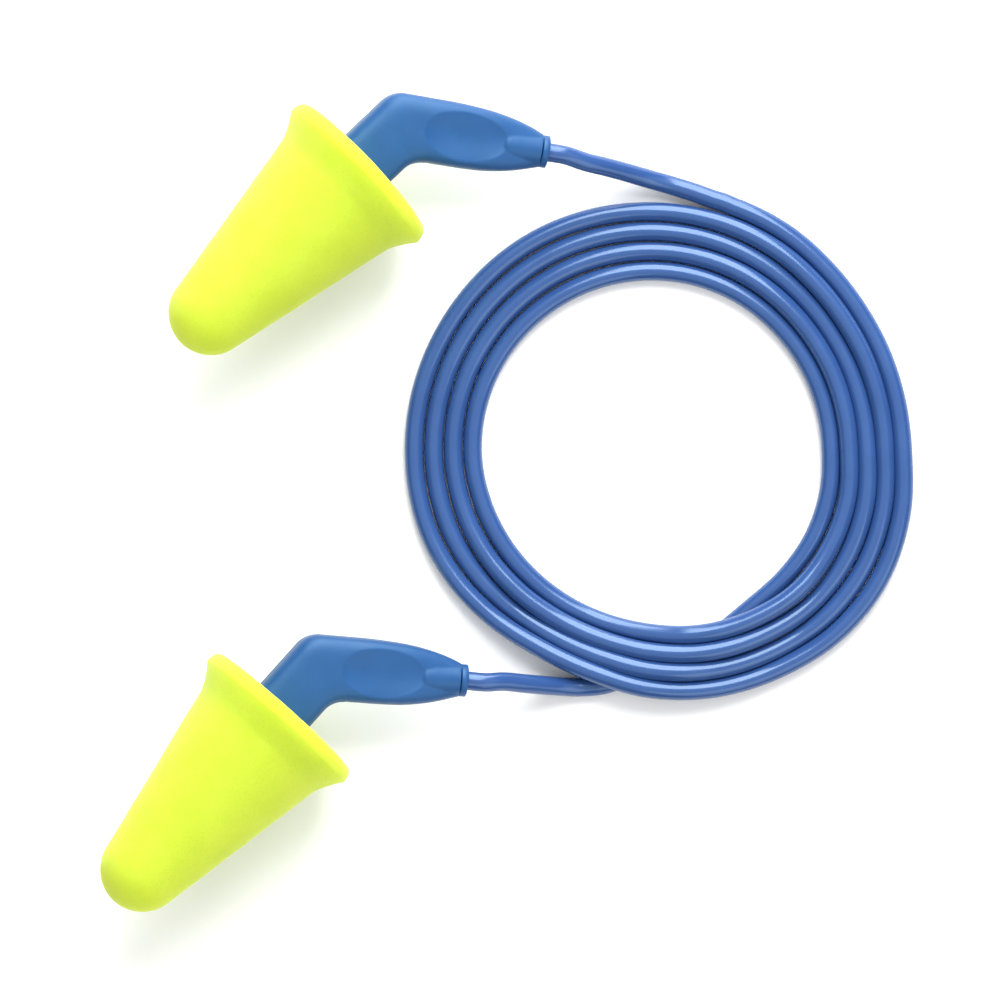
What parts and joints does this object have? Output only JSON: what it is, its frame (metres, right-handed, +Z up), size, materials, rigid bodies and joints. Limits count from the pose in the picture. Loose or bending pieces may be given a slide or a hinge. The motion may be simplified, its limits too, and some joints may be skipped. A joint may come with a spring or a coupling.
{
  "type": "foam ear plugs",
  "caption": "Corded push-in foam ear plugs: bell-shaped foam tips on bent soft handles with thumb pads, joined by a thin cord wound in a flat coil.",
  "frame": {"origin": "on the surface that the ear plugs lie on, under the middle of the box around the two plugs, the cord left out", "axes": "+X from the plugs towards the coil, +Y from the right plug to the left plug, +Z up from the surface"},
  "size_m": [0.0703, 0.0708, 0.0158],
  "materials": {
    "foam": "matte",
    "handle": "satin",
    "cord": "gloss"
  },
  "bodies": {
    "cord": {"cord_coil": "cord", "cord_lead_left": "cord", "cord_lead_right": "cord"},
    "left_handle": {"left_grip": "handle"},
    "left_tip": {"left_stem": "handle", "left_foam_tip": "foam"},
    "right_handle": {"right_grip": "handle"},
    "right_tip": {"right_stem": "handle", "right_foam_tip": "foam"}
  },
  "joints": [
    {"name": "left_cord_twist", "type": "hinge", "parent": "cord", "child": "left_handle", "pos_m": [0.01906, 0.03018, 0.00508], "axis": [-0.971, 0.1642, 0.1736], "range_deg": [0, 150]},
    {"name": "left_stem_flex", "type": "hinge", "parent": "left_handle", "child": "left_tip", "pos_m": [0.00634, 0.03233, 0.00735], "axis": [0.1712, -0.029, 0.9848], "range_deg": [-15, 15], "stiffness_Nm_per_rad": 0.02},
    {"name": "right_cord_twist", "type": "hinge", "parent": "cord", "child": "right_handle", "pos_m": [0.01202, -0.01574, 0.00508], "axis": [-0.9806, 0.091, 0.1736], "range_deg": [0, 150]},
    {"name": "right_stem_flex", "type": "hinge", "parent": "right_handle", "child": "right_tip", "pos_m": [-0.00082, -0.01455, 0.00735], "axis": [0.1729, -0.016, 0.9848], "range_deg": [-15, 15], "stiffness_Nm_per_rad": 0.02}
  ]
}
